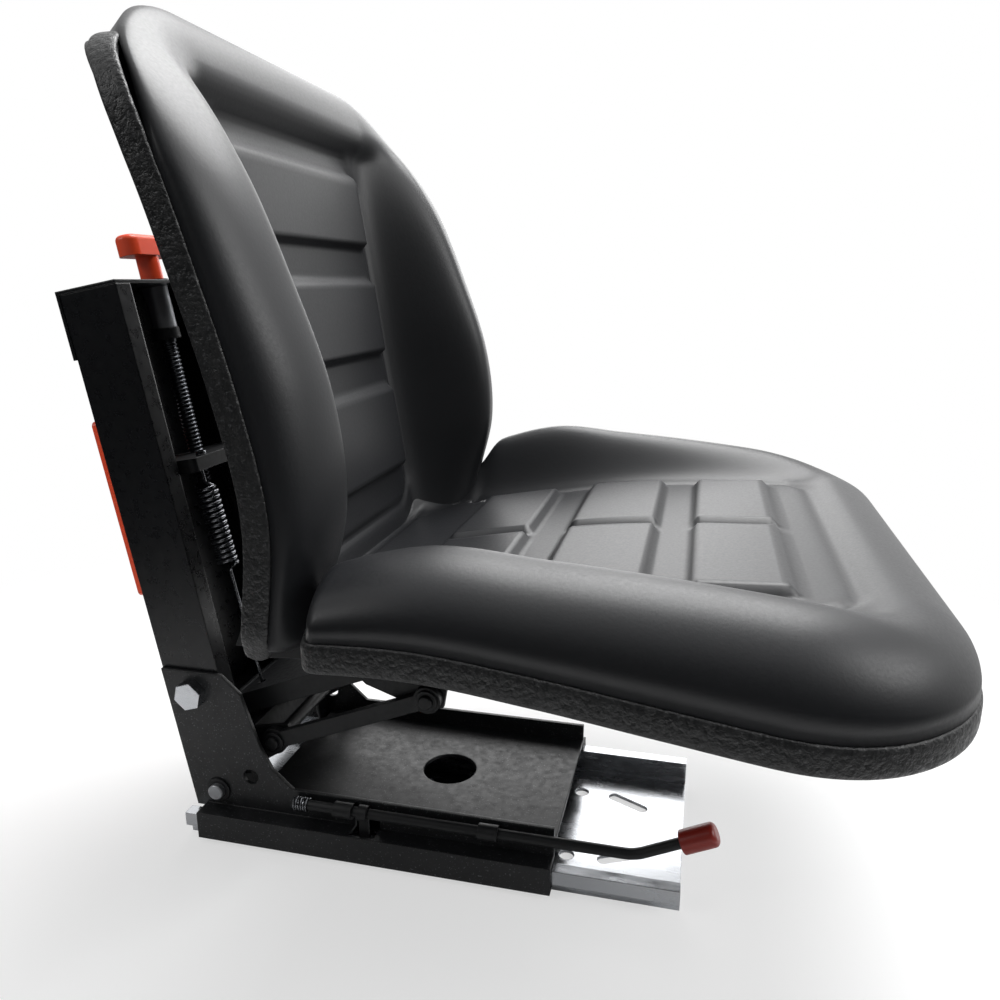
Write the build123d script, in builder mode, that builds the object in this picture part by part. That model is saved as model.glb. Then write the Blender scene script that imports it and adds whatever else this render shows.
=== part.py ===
"""Tractor seat on a rear spring tower and a fore-aft slide.

Millimetres. X points forward, Y to the sitter's left, Z up.
The origin is the centre of the lower rail's mounting face.
"""
import os
from math import atan2, cos, degrees, radians, sin, tan

from build123d import *

os.makedirs("parts", exist_ok=True)

# Fits
run_gap = 0.3
pin_gap = 0.05
sheet_gap = 0.5
foam_gap = 2.2
foam_step = 10.0
glide_gap = 0.4

# Lower rail: a hat section with lips turned out and down
rail_length = 366.0
rail_sheet = 2.5
rail_half_width = 82.5
rail_wall = 75.5
rail_height = 20.0
rail_lip_drop = 10.5
rail_hole_x = 101.0
rail_hole_y = 40.0
rail_hole_r = 5.5
rail_slot_x = 139.0
rail_slot_y = 34.0
rail_slot_length = 34.0
rail_slot_width = 9.0
rail_slot_turn = 26.0
notch_count = 7
notch_pitch = 14.0
notch_length = 8.0

# Slide base: deck, side flanges, ears and the wraps that hold the rail's lips
base_rear = -170.0
base_front = 97.0
base_sheet = 3.0
flange_inner = 69.4
flange_top = 45.75
deck_top = 32.5
deck_rear = -131.0
deck_hole_r = 21.0
deck_hole_y = 2.0
wrap_clear = 1.9
wrap_bottom = 4.3
wrap_return = 10.0
ledge_clear = 2.0
ear_top = 132.0
ear_hole = (-131.4, 51.6)
ear_hole_r = 6.0
glide_length = 40.0
glide_inset = 12.0

# Rear tower, leaning back, with its own axes: out is forward of its back wall, up is along it
tower_lean = 10.26
tower_foot = Vector(-178.8, 0, 20.0)
tower_height = 385.0
tower_depth = 45.0
tower_sheet = 3.0
tower_half_width = flange_inner - 0.4
tower_lip = 15.0
cap_sheet = 2.5
cap_gap = 0.4
cap_skirt = 44.0
bolt_up = 93.0
bolt_r = 6.0
bolt_head_flats = 19.0
bolt_head_height = 8.0
foot_pin_up = 13.5
foot_pin_r = 6.0
clip_r = 9.5
clip_thick = 1.5
scale_low = 168.0
scale_high = 298.0
scale_half_width = 66.0
scale_thick = 6.0
pointer_half_width = 3.0

# Links of the suspension: a parallelogram between the tower and the seat carrier
link_length = 130.0
link_rise = 21.9
link_bar_height = 12.0
link_bar_thick = 6.0
link_boss_r = 10.0
link_pin_r = 5.0
lower_pivot = (-118.0, 75.0)
upper_pivot_out = 27.0
upper_pivot_up = 66.0
cheek_outer = 52.0
cheek_sheet = 4.0
link_side_gap = 1.0
upper_sheet = 3.0
upper_height = 16.0
upper_web_offset = 5.0
upper_web_start = 14.0
upper_web_end = 112.0
spring_hole_r = 3.0

# Weight adjuster
screw_out = 25.0
screw_r = 6.0
screw_low = 236.0
washer_thick = 2.5
knob_stem_r = 8.0
knob_stem_height = 17.0
knob_bar_length = 50.0
knob_bar_height = 15.0
knob_bar_depth = 17.0
bush_length = 30.0
bush_r = 9.0
collar_length = 8.0
yoke_up = 250.0
yoke_thick = 10.0
yoke_half_width = 46.0
yoke_travel = 24.0

# Tension springs
spring_y = 30.0
spring_coil_r = 6.6
spring_wire_r = 1.2
spring_turns = 15
spring_top_out = 46.5
spring_hook_s = 27.7
spring_coil_drop = 14.0
spring_coil_length = 60.0
spring_leg = 7.0

# Latch lever
rod_r = 3.75
rod_y = -78.4
rod_z = 40.0
rod_rear = -95.0
rod_bend_x = 152.0
rod_bend_r = 30.0
rod_bend_turn = 26.0
rod_tip_x = 200.0
lever_cap_r = 8.0
lever_cap_length = 24.0
latch_x = -40.0
latch_length = 7.0
latch_thick = 2.5
rod_ring = 1.9
lever_bracket_xs = (-62.0, 45.0)
lever_bracket_length = 14.0
return_wire_r = 0.6
return_turns = 6
return_pitch = 1.9

# Seat: shell, cushion and edge trim
seat_half_width = 230.0
seat_front = 320.0
seat_corner_r = 100.0
back_half_width = 202.0
roll_top = 551.0
roll_corner_r = 88.0
back_top = 527.0
back_corner_r = 42.0
waist_half_width = 176.0
waist_x = (-18.0, 0.0)
waist_z = (230.0, 243.0)
back_low = 172.0
trim_height = 15.5
trim_thick = 3.5
seat_trim_end = -31.0
seat_trim_z = 238.6
back_trim_end = 222.0
back_trim_x = -37.0
rim_gap = 1.0
shell_sheet = 2.5
shell_flat = 90.0
shell_line_z = 178.0
shell_line_slope = 0.115
shell_front_z = 202.0
shell_rear_x = -92.0
rear_chamfer_x = -56.0
waist_roof = 242.5
waist_face = -28.0
outline_start = 100.0
behind_start = -260.0
low_chamfer_z = 205.0
foam_back = 33.0
panel_half_seat = 120.0
panel_half_back = 112.0
crest_half_seat = 178.0
crest_half_back = 160.0
pad_rise = 6.0
pad_sink = 14.0
pad_corner_r = 10.0
pad_edge_r = 4.5
seat_pad_xs = ((1.0, 63.0), (91.0, 152.0), (177.0, 230.0))
seat_pad_half = 110.0
seat_pad_split = 6.0
back_pad_zs = ((257.0, 324.0), (351.0, 408.0), (434.5, 488.0))
back_pad_half = 103.0
stud_r = 4.0
stud_xs = (15.0, 130.0)
stud_y = 64.0
stud_nut_flats = 13.0
stud_nut_height = 6.5
carrier_sheet = 4.0
carrier_front = 150.0
carrier_rear = -58.0
carrier_half_width = 78.0

# Seat rows along X: place, panel, crest and edge heights of the cushion
seat_rows = [
    (-88.0, 206.0, 238.0, 234.0),
    (-40.0, 214.0, 252.0, 238.0),
    (0.0, 221.0, 271.0, 241.0),
    (50.0, 231.0, 284.0, 242.5),
    (110.0, 241.0, 280.0, 236.5),
    (170.0, 249.0, 275.5, 228.0),
    (230.0, 255.5, 269.0, 220.0),
    (264.0, 256.0, 259.0, 217.5),
    (294.0, 248.0, 246.0, 217.0),
    (311.0, 237.0, 234.0, 217.0),
    (seat_front, 223.0, 222.0, 217.0),
]

# Back rows along Z: place, panel, crest and edge places of the cushion on X
back_rows = [
    (172.0, -58.0, -24.0, -44.0),
    (230.0, -67.0, -20.0, -34.0),
    (290.0, -76.0, -6.0, -29.0),
    (350.0, -86.0, -11.0, -40.0),
    (410.0, -95.0, -31.0, -57.0),
    (460.0, -103.0, -52.0, -73.0),
    (500.0, -109.0, -77.0, -89.0),
    (528.0, -112.0, -103.0, -108.5),
    (543.0, -117.0, -118.0, -122.0),
    (roll_top, -127.0, -128.0, -131.0),
]

# Places worked out from the sizes above
lean = radians(tower_lean)
out_axis = Vector(cos(lean), 0, sin(lean))
up_axis = Vector(-sin(lean), 0, cos(lean))
rise = radians(link_rise)
along_link = Vector(cos(rise), 0, sin(rise))
above_link = Vector(-sin(rise), 0, cos(rise))
flange_outer = flange_inner + base_sheet
wrap_inner = rail_half_width + wrap_clear
wrap_outer = wrap_inner + base_sheet
ledge_low = rail_height + ledge_clear
ledge_top = ledge_low + base_sheet
bolt_out = tower_depth / 2


def on_tower(out, up, y=0.0):
    """A point given by its place out from the tower's back and up along it."""
    return tower_foot + out_axis * out + up_axis * up + Vector(0, y, 0)


def across_tower(up):
    """A plane square to the tower, with x out and y across."""
    return Plane(origin=on_tower(0, up), x_dir=out_axis, z_dir=up_axis)


def beside_tower(y):
    """A plane along the tower's side at y, with x out and y up, facing the sitter's right."""
    return Plane(origin=on_tower(0, 0, y), x_dir=out_axis, z_dir=(0, -1, 0))


def beside(y):
    """The XZ plane at y, facing the sitter's right."""
    return Plane(origin=(0, y, 0), x_dir=(1, 0, 0), z_dir=(0, -1, 0))


def shell_bottom(x):
    """Height of the seat shell's underside at its middle."""
    return min(shell_line_z + shell_line_slope * x, shell_front_z)


lower_rear = Vector(lower_pivot[0], 0, lower_pivot[1])
upper_rear = on_tower(upper_pivot_out, upper_pivot_up)
lower_front = lower_rear + along_link * link_length
upper_front = upper_rear + along_link * link_length
spring_low = upper_rear + along_link * spring_hook_s + above_link * (upper_web_offset + upper_sheet)
spring_high = on_tower(spring_top_out, yoke_up)
spring_axis = (spring_high - spring_low).normalized()

# Lower rail
with BuildPart() as lower_rail:
    with BuildSketch(Plane.YZ.offset(-rail_length / 2)):
        with BuildLine():
            lip_low = rail_height - rail_lip_drop
            right = [
                (0, 0),
                (rail_wall, 0),
                (rail_wall, rail_height - rail_sheet),
                (rail_half_width - rail_sheet, rail_height - rail_sheet),
                (rail_half_width - rail_sheet, lip_low),
                (rail_half_width, lip_low),
                (rail_half_width, rail_height),
                (rail_wall - rail_sheet, rail_height),
                (rail_wall - rail_sheet, rail_sheet),
                (0, rail_sheet),
            ]
            Polyline(*right, close=True)
        make_face()
        mirror(about=Plane.YZ)
    extrude(amount=rail_length)
    with Locations((0, 0, rail_sheet)):
        with GridLocations(2 * rail_hole_x, 2 * rail_hole_y, 2, 2):
            Hole(radius=rail_hole_r, depth=2 * rail_sheet)
    with BuildSketch(Plane.XY):
        for sx in (1, -1):
            for sy in (1, -1):
                with Locations((sx * rail_slot_x, sy * rail_slot_y)):
                    SlotOverall(rail_slot_length, rail_slot_width, rotation=-sx * sy * rail_slot_turn)
    extrude(amount=rail_sheet, mode=Mode.SUBTRACT)
    with BuildSketch(Plane.XY.offset(rail_height - rail_sheet)):
        lip_middle = (rail_wall + rail_half_width - rail_sheet) / 2
        for i in range(notch_count):
            with Locations((latch_x + i * notch_pitch, -lip_middle)):
                Rectangle(notch_length, rail_half_width - rail_sheet - rail_wall)
    extrude(amount=rail_sheet, mode=Mode.SUBTRACT)
lower_rail.part.label = "lower_rail"

# Slide base
with BuildPart() as slide_base:
    with BuildSketch(Plane.YZ.offset(base_rear)):
        with BuildLine():
            section = [
                (flange_inner, ledge_low),
                (wrap_inner, ledge_low),
                (wrap_inner, wrap_bottom + base_sheet),
                (wrap_outer - wrap_return, wrap_bottom + base_sheet),
                (wrap_outer - wrap_return, wrap_bottom),
                (wrap_outer, wrap_bottom),
                (wrap_outer, ledge_top),
                (flange_outer, ledge_top),
                (flange_outer, flange_top),
                (flange_inner, flange_top),
            ]
            Polyline(*section, close=True)
        make_face()
        mirror(about=Plane.YZ)
    extrude(amount=base_front - base_rear)
    with BuildSketch(Plane.XY.offset(deck_top)):
        with Locations(((deck_rear + base_front) / 2, 0)):
            Rectangle(base_front - deck_rear, 2 * flange_inner)
        with Locations((0, deck_hole_y)):
            Circle(deck_hole_r, mode=Mode.SUBTRACT)
    extrude(amount=-base_sheet)
    ear_back_low = on_tower(1.0, (ledge_low - tower_foot.Z) / cos(lean))
    ear_back_high = on_tower(1.0, (ear_top - tower_foot.Z) / cos(lean))
    with BuildSketch(beside(flange_outer)):
        with BuildLine():
            Polyline(
                (ear_back_low.X, ledge_low),
                (ear_back_high.X, ear_top),
                (-150.0, ear_top),
                (-135.0, 118.0),
                (-122.7, 78.6),
                (-113.6, 60.1),
                (-98.0, flange_top),
                (-98.0, ledge_low),
                close=True,
            )
        make_face()
        with Locations(ear_hole):
            Circle(ear_hole_r, mode=Mode.SUBTRACT)
        with Locations((on_tower(bolt_out, bolt_up).X, on_tower(bolt_out, bolt_up).Z)):
            Circle(bolt_r + run_gap, mode=Mode.SUBTRACT)
        with Locations((on_tower(bolt_out, foot_pin_up).X, on_tower(bolt_out, foot_pin_up).Z)):
            Circle(foot_pin_r + pin_gap, mode=Mode.SUBTRACT)
    ears = extrude(amount=base_sheet)
    mirror(ears, about=Plane.XZ)
    with BuildSketch(beside(-flange_inner)):
        for point, radius in (
            (ear_hole, ear_hole_r),
            ((on_tower(bolt_out, foot_pin_up).X, on_tower(bolt_out, foot_pin_up).Z), foot_pin_r + pin_gap),
        ):
            with Locations(point):
                Circle(radius)
    extrude(amount=base_sheet, mode=Mode.SUBTRACT)
    with BuildSketch(beside(flange_outer)):
        for point, radius in (
            (ear_hole, ear_hole_r),
            ((on_tower(bolt_out, foot_pin_up).X, on_tower(bolt_out, foot_pin_up).Z), foot_pin_r + pin_gap),
        ):
            with Locations(point):
                Circle(radius)
    extrude(amount=base_sheet, mode=Mode.SUBTRACT)
    with BuildSketch(Plane.XY.offset(ledge_low)):
        window = latch_length + 12.0
        with Locations((latch_x, -(flange_inner + wrap_inner) / 2)):
            Rectangle(window, wrap_inner - flange_inner)
    extrude(amount=rod_z - ledge_low - rod_r, mode=Mode.SUBTRACT)
slide_base.part.label = "slide_base"

# Slide glides: four plastic shoes inside the wraps
with BuildPart() as slide_glides:
    for glide_rear in (base_rear + glide_inset, base_front - glide_inset - glide_length):
        with BuildSketch(Plane.YZ.offset(glide_rear)):
            with BuildLine():
                shoe = [
                    (rail_wall, ledge_low),
                    (rail_wall, rail_height + glide_gap),
                    (rail_half_width + glide_gap, rail_height + glide_gap),
                    (rail_half_width + glide_gap, rail_height - rail_lip_drop - glide_gap),
                    (rail_half_width - rail_sheet, rail_height - rail_lip_drop - glide_gap),
                    (rail_half_width - rail_sheet, wrap_bottom + base_sheet),
                    (wrap_inner, wrap_bottom + base_sheet),
                    (wrap_inner, ledge_low),
                ]
                Polyline(*shoe, close=True)
            make_face()
            mirror(about=Plane.YZ)
        extrude(amount=glide_length)
slide_glides.part.label = "slide_glides"

# Rear tower: a channel open to the front with narrow lips
with BuildPart() as rear_tower:
    with BuildSketch(across_tower(0)):
        with Locations((tower_depth / 2, 0)):
            Rectangle(tower_depth, 2 * tower_half_width)
            Rectangle(
                tower_depth - 2 * tower_sheet,
                2 * (tower_half_width - tower_sheet),
                mode=Mode.SUBTRACT,
            )
        with Locations((tower_depth - tower_sheet / 2, 0)):
            Rectangle(tower_sheet, 2 * (tower_half_width - tower_lip), mode=Mode.SUBTRACT)
    extrude(amount=tower_height)
    with BuildSketch(beside_tower(tower_half_width)):
        for out, up, radius in (
            (bolt_out, bolt_up, bolt_r + run_gap),
            (bolt_out, foot_pin_up, foot_pin_r + pin_gap),
            (upper_pivot_out, upper_pivot_up, link_pin_r + pin_gap),
        ):
            with Locations((out, up)):
                Circle(radius)
    extrude(amount=2 * tower_half_width, mode=Mode.SUBTRACT)
    with BuildSketch(Plane(origin=on_tower(0, 0), x_dir=(0, 1, 0), z_dir=out_axis)):
        with Locations((0, yoke_up + yoke_thick / 2 + yoke_travel / 2)):
            Rectangle(
                2 * pointer_half_width + 4 * run_gap,
                yoke_thick + yoke_travel + 4 * run_gap,
            )
    extrude(amount=tower_sheet, mode=Mode.SUBTRACT)
rear_tower.part.label = "rear_tower"

# Tower cap: a folded lid with a long rear skirt
cap_outer = tower_half_width + cap_gap
cap_back = -cap_gap - cap_sheet
cap_top = tower_height + cap_sheet
with BuildPart() as tower_cap:
    with BuildSketch(across_tower(tower_height)):
        with Locations(((tower_depth + cap_back) / 2, 0)):
            Rectangle(tower_depth - cap_back, 2 * cap_outer)
        with Locations((screw_out, 0)):
            Circle(screw_r + run_gap, mode=Mode.SUBTRACT)
    extrude(amount=cap_sheet)
    with BuildSketch(across_tower(tower_height - cap_skirt)):
        with Locations((cap_back + cap_sheet / 2, 0)):
            Rectangle(cap_sheet, 2 * cap_outer)
    extrude(amount=cap_skirt)
tower_cap.part.label = "tower_cap"

# Tower bolts and nuts
with BuildPart() as tower_bolts:
    bolt_place = on_tower(bolt_out, bolt_up)
    with BuildSketch(beside(-flange_outer)):
        with Locations((bolt_place.X, bolt_place.Z)):
            RegularPolygon(bolt_head_flats / 2, 6, major_radius=False, rotation=17)
    extrude(amount=bolt_head_height)
    with BuildSketch(beside(-flange_outer)):
        with Locations((bolt_place.X, bolt_place.Z)):
            Circle(bolt_r)
    extrude(amount=-(flange_outer - tower_half_width + tower_sheet + 12.0))
    chamfer(tower_bolts.edges().filter_by(GeomType.CIRCLE).sort_by(Axis.Y)[-1], 0.8)
    mirror(about=Plane.XZ)
tower_bolts.part.label = "tower_bolts"

with BuildPart() as tower_nuts:
    nut_height = 10.0
    with BuildSketch(beside(-(tower_half_width - tower_sheet))):
        with Locations((bolt_place.X, bolt_place.Z)):
            RegularPolygon(bolt_head_flats / 2, 6, major_radius=False)
            Circle(bolt_r + pin_gap, mode=Mode.SUBTRACT)
    extrude(amount=-nut_height)
    mirror(about=Plane.XZ)
tower_nuts.part.label = "tower_nuts"

# Foot pin through ears and tower, with a clip at each end
foot_pin_half = flange_outer + 6.0
foot_place = on_tower(bolt_out, foot_pin_up)
with BuildPart() as foot_pin:
    with BuildSketch(beside(foot_pin_half)):
        with Locations((foot_place.X, foot_place.Z)):
            Circle(foot_pin_r)
    extrude(amount=2 * foot_pin_half)
    chamfer(foot_pin.edges().filter_by(GeomType.CIRCLE), 0.8)
foot_pin.part.label = "foot_pin"

with BuildPart() as foot_clips:
    with BuildSketch(beside(-flange_outer)):
        with Locations((foot_place.X, foot_place.Z)):
            Circle(clip_r)
            Circle(foot_pin_r + pin_gap, mode=Mode.SUBTRACT)
    extrude(amount=clip_thick)
    mirror(about=Plane.XZ)
foot_clips.part.label = "foot_clips"

# Weight scale: a plastic strip on the tower's back with a window for the pointer
with BuildPart() as weight_scale:
    with BuildSketch(Plane(origin=on_tower(0, 0), x_dir=(0, 1, 0), z_dir=out_axis)):
        with Locations((0, (scale_low + scale_high) / 2)):
            RectangleRounded(2 * scale_half_width, scale_high - scale_low, 4.0)
        with Locations((0, yoke_up + yoke_thick / 2 + yoke_travel / 2)):
            Rectangle(
                2 * pointer_half_width + 4 * run_gap,
                yoke_thick + yoke_travel + 4 * run_gap,
                mode=Mode.SUBTRACT,
            )
    extrude(amount=-scale_thick)
weight_scale.part.label = "weight_scale"

# Link bracket: a folded piece on the tower's lips that carries the lower links
bracket_web = 4.0
bracket_low = 22.0
bracket_high = 52.0
pivot_out = (lower_rear - tower_foot).dot(out_axis)
pivot_up = (lower_rear - tower_foot).dot(up_axis)
with BuildPart() as link_bracket:
    with BuildSketch(across_tower(bracket_low)):
        with Locations((tower_depth + bracket_web / 2, 0)):
            Rectangle(bracket_web, 2 * (tower_half_width - 3.0))
    extrude(amount=bracket_high - bracket_low)
    with BuildSketch(beside_tower(-cheek_outer + cheek_sheet)):
        with BuildLine():
            Polyline(
                (tower_depth + bracket_web / 2, bracket_low),
                (pivot_out, pivot_up - link_boss_r - 2.0),
                (pivot_out + link_boss_r + 2.0, pivot_up - 4.0),
                (pivot_out + link_boss_r, pivot_up + link_boss_r),
                (tower_depth + bracket_web / 2, bracket_high),
                close=True,
            )
        make_face()
        with Locations((pivot_out, pivot_up)):
            Circle(link_pin_r + pin_gap, mode=Mode.SUBTRACT)
    cheek = extrude(amount=cheek_sheet)
    mirror(cheek, about=Plane.XZ)
link_bracket.part.label = "link_bracket"

# Bracket bolts: four hex heads on the bracket's web
with BuildPart() as bracket_bolts:
    bracket_bolt_y = tower_half_width - tower_lip / 2 - 1.0
    face = Plane(origin=on_tower(tower_depth + bracket_web, 0), x_dir=(0, 1, 0), z_dir=out_axis)
    with BuildSketch(face):
        with Locations((0, (bracket_low + bracket_high) / 2)):
            with GridLocations(2 * bracket_bolt_y, 14.0, 2, 2):
                RegularPolygon(5.0, 6, major_radius=False)
    extrude(amount=4.0)
bracket_bolts.part.label = "bracket_bolts"

# Pivot pins, each with two clips
link_inner = cheek_outer + link_side_gap
link_outer = link_inner + link_bar_thick
pin_half = link_outer + 4.5
tower_pin_half = tower_half_width - 0.2
upper_pin_half = cheek_outer + 5.0
for pin_name, place, half in (
    ("lower_pivot_pin", lower_rear, pin_half),
    ("upper_pivot_pin", upper_rear, tower_pin_half),
    ("lower_front_pin", lower_front, pin_half),
    ("upper_front_pin", upper_front, upper_pin_half),
):
    with BuildPart() as pivot_pin:
        with BuildSketch(beside(half)):
            with Locations((place.X, place.Z)):
                Circle(link_pin_r)
        extrude(amount=2 * half)
        chamfer(pivot_pin.edges().filter_by(GeomType.CIRCLE), 0.6)
    pivot_pin.part.label = pin_name
    export_step(pivot_pin.part, f"parts/{pin_name}.step")

for clip_name, clip_places in (
    ("rear_pin_clips", [(lower_rear, link_outer)]),
    ("front_pin_clips", [(lower_front, link_outer), (upper_front, cheek_outer)]),
):
    with BuildPart() as pin_clips:
        for place, face_y in clip_places:
            with BuildSketch(beside(-face_y - run_gap)):
                with Locations((place.X, place.Z)):
                    Circle(link_pin_r + 3.0)
                    Circle(link_pin_r + pin_gap, mode=Mode.SUBTRACT)
            extrude(amount=clip_thick)
        mirror(about=Plane.XZ)
    pin_clips.part.label = clip_name
    export_step(pin_clips.part, f"parts/{clip_name}.step")

# Spacers that keep the upper link in the middle of the tower
upper_outer = cheek_outer - cheek_sheet - link_side_gap
with BuildPart() as pivot_spacers:
    with BuildSketch(beside(-upper_outer - run_gap)):
        with Locations((upper_rear.X, upper_rear.Z)):
            Circle(link_pin_r + 1.8)
            Circle(link_pin_r + pin_gap, mode=Mode.SUBTRACT)
    spacer = extrude(amount=tower_half_width - tower_sheet - upper_outer - 2 * run_gap)
    mirror(spacer, about=Plane.XZ)
pivot_spacers.part.label = "pivot_spacers"


def link_plane(start, y):
    """A plane beside a link with x along it, at its rear pivot."""
    return Plane(origin=start + Vector(0, y, 0), x_dir=along_link, z_dir=(0, -1, 0))


def link_profile(bar_height, boss_r):
    with Locations((link_length / 2, 0)):
        Rectangle(link_length, bar_height)
    with Locations((0, 0), (link_length, 0)):
        Circle(boss_r)
    with Locations((0, 0), (link_length, 0)):
        Circle(link_pin_r + pin_gap, mode=Mode.SUBTRACT)


# Lower links: two flat bars
for link_name, link_face in (("lower_link_right", -link_inner), ("lower_link_left", link_outer)):
    with BuildPart() as lower_link:
        with BuildSketch(link_plane(lower_rear, link_face)):
            link_profile(link_bar_height, link_boss_r)
        extrude(amount=link_bar_thick)
    lower_link.part.label = link_name
    export_step(lower_link.part, f"parts/{link_name}.step")

# Upper link: a folded channel with a web on top that takes the spring hooks
with BuildPart() as upper_link:
    with BuildSketch(link_plane(upper_rear, -upper_outer + upper_sheet)):
        link_profile(upper_height, link_boss_r)
    flange = extrude(amount=upper_sheet)
    mirror(flange, about=Plane.XZ)
    web_plane = Plane(
        origin=upper_rear + above_link * upper_web_offset,
        x_dir=along_link,
        z_dir=above_link,
    )
    with BuildSketch(web_plane):
        with Locations(((upper_web_start + upper_web_end) / 2, 0)):
            Rectangle(upper_web_end - upper_web_start, 2 * upper_outer)
        with Locations((spring_hook_s, spring_y), (spring_hook_s, -spring_y)):
            Circle(spring_hole_r, mode=Mode.SUBTRACT)
    extrude(amount=upper_sheet)
upper_link.part.label = "upper_link"

# Seat carrier: a sloped plate under the shell with two pivot cheeks
plate_turn = degrees(atan2(shell_line_slope, 1.0))
plate_normal = Vector(-sin(radians(plate_turn)), 0, cos(radians(plate_turn)))
plate_along = Vector(cos(radians(plate_turn)), 0, sin(radians(plate_turn)))
plate_place = Vector(0, 0, shell_line_z) - plate_normal * run_gap
plate_top = Plane(origin=plate_place, x_dir=plate_along, z_dir=plate_normal)


def under_plate(x):
    return shell_line_z + shell_line_slope * x - run_gap - carrier_sheet


with BuildPart() as seat_carrier:
    with BuildSketch(plate_top):
        with Locations(((carrier_rear + carrier_front) / 2, 0)):
            RectangleRounded(carrier_front - carrier_rear, 2 * carrier_half_width, 12.0)
        for stud_x in stud_xs:
            with Locations((stud_x, stud_y), (stud_x, -stud_y)):
                Circle(stud_r + run_gap, mode=Mode.SUBTRACT)
    extrude(amount=-carrier_sheet)
    with BuildSketch(beside(-cheek_outer + cheek_sheet)):
        with BuildLine():
            Polyline(
                (carrier_rear + 4.0, under_plate(carrier_rear + 4.0) + carrier_sheet / 2),
                (upper_front.X - link_boss_r - 1.0, upper_front.Z - 3.0),
                (upper_front.X - 2.0, upper_front.Z - link_boss_r - 1.0),
                (lower_front.X - 5.0, lower_front.Z - link_boss_r - 1.0),
                (lower_front.X + link_boss_r, lower_front.Z - link_boss_r + 2.0),
                (lower_front.X + link_boss_r + 3.0, lower_front.Z + 8.0),
                (carrier_front - 60.0, under_plate(carrier_front - 60.0) + carrier_sheet / 2),
                close=True,
            )
        make_face()
        with Locations((lower_front.X, lower_front.Z), (upper_front.X, upper_front.Z)):
            Circle(link_pin_r + pin_gap, mode=Mode.SUBTRACT)
    carrier_cheek = extrude(amount=cheek_sheet)
    mirror(carrier_cheek, about=Plane.XZ)
seat_carrier.part.label = "seat_carrier"

# Adjuster: screw, collar, bush, washer and T knob
with BuildPart() as adjuster_screw:
    with BuildSketch(across_tower(screw_low)):
        with Locations((screw_out, 0)):
            Circle(screw_r)
    extrude(amount=cap_top + washer_thick + knob_stem_height - screw_low)
    chamfer(adjuster_screw.edges().filter_by(GeomType.CIRCLE), 1.0)
adjuster_screw.part.label = "adjuster_screw"

with BuildPart() as adjuster_bush:
    with BuildSketch(across_tower(tower_height - bush_length)):
        with Locations((screw_out, 0)):
            Circle(bush_r)
            Circle(screw_r + pin_gap, mode=Mode.SUBTRACT)
    extrude(amount=bush_length)
adjuster_bush.part.label = "adjuster_bush"

with BuildPart() as screw_collar:
    with BuildSketch(across_tower(tower_height - bush_length - run_gap - collar_length)):
        with Locations((screw_out, 0)):
            Circle(bush_r + 1.0)
            Circle(screw_r + pin_gap, mode=Mode.SUBTRACT)
    extrude(amount=collar_length)
screw_collar.part.label = "screw_collar"

with BuildPart() as thrust_washer:
    with BuildSketch(across_tower(cap_top)):
        with Locations((screw_out, 0)):
            Circle(knob_stem_r + 3.0)
            Circle(screw_r + pin_gap, mode=Mode.SUBTRACT)
    extrude(amount=washer_thick)
thrust_washer.part.label = "thrust_washer"

knob_low = cap_top + washer_thick + run_gap
with BuildPart() as adjuster_knob:
    with BuildSketch(across_tower(knob_low)):
        with Locations((screw_out, 0)):
            Circle(knob_stem_r)
    extrude(amount=knob_stem_height + knob_bar_height / 2)
    with BuildSketch(across_tower(knob_low + knob_stem_height)):
        with Locations((screw_out, 0)):
            RectangleRounded(knob_bar_depth, knob_bar_length, knob_bar_depth / 2 - 0.5)
    extrude(amount=knob_bar_height)
    top_edges = adjuster_knob.faces().sort_by(Axis(on_tower(0, 0), up_axis))[-1].edges()
    fillet(top_edges, 4.0)
    with BuildSketch(across_tower(knob_low)):
        with Locations((screw_out, 0)):
            Circle(screw_r + pin_gap)
    extrude(amount=knob_stem_height, mode=Mode.SUBTRACT)
adjuster_knob.part.label = "adjuster_knob"

# Spring yoke: rides on the screw, carries both spring tops and the pointer
with BuildPart() as spring_yoke:
    with BuildSketch(across_tower(yoke_up)):
        yoke_back = 12.0
        yoke_front = spring_top_out + 6.0
        with Locations(((yoke_back + yoke_front) / 2, 0)):
            RectangleRounded(yoke_front - yoke_back, 2 * yoke_half_width, 5.0)
        with Locations((screw_out, 0)):
            Circle(screw_r + pin_gap, mode=Mode.SUBTRACT)
        with Locations((spring_top_out, spring_y), (spring_top_out, -spring_y)):
            Circle(spring_hole_r, mode=Mode.SUBTRACT)
    extrude(amount=yoke_thick)
    with BuildSketch(across_tower(yoke_up)):
        pointer_back = -scale_thick - 1.5
        with Locations(((pointer_back + yoke_back + 1.0) / 2, 0)):
            Rectangle(yoke_back + 1.0 - pointer_back, 2 * pointer_half_width)
    extrude(amount=yoke_thick)
spring_yoke.part.label = "spring_yoke"

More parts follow.
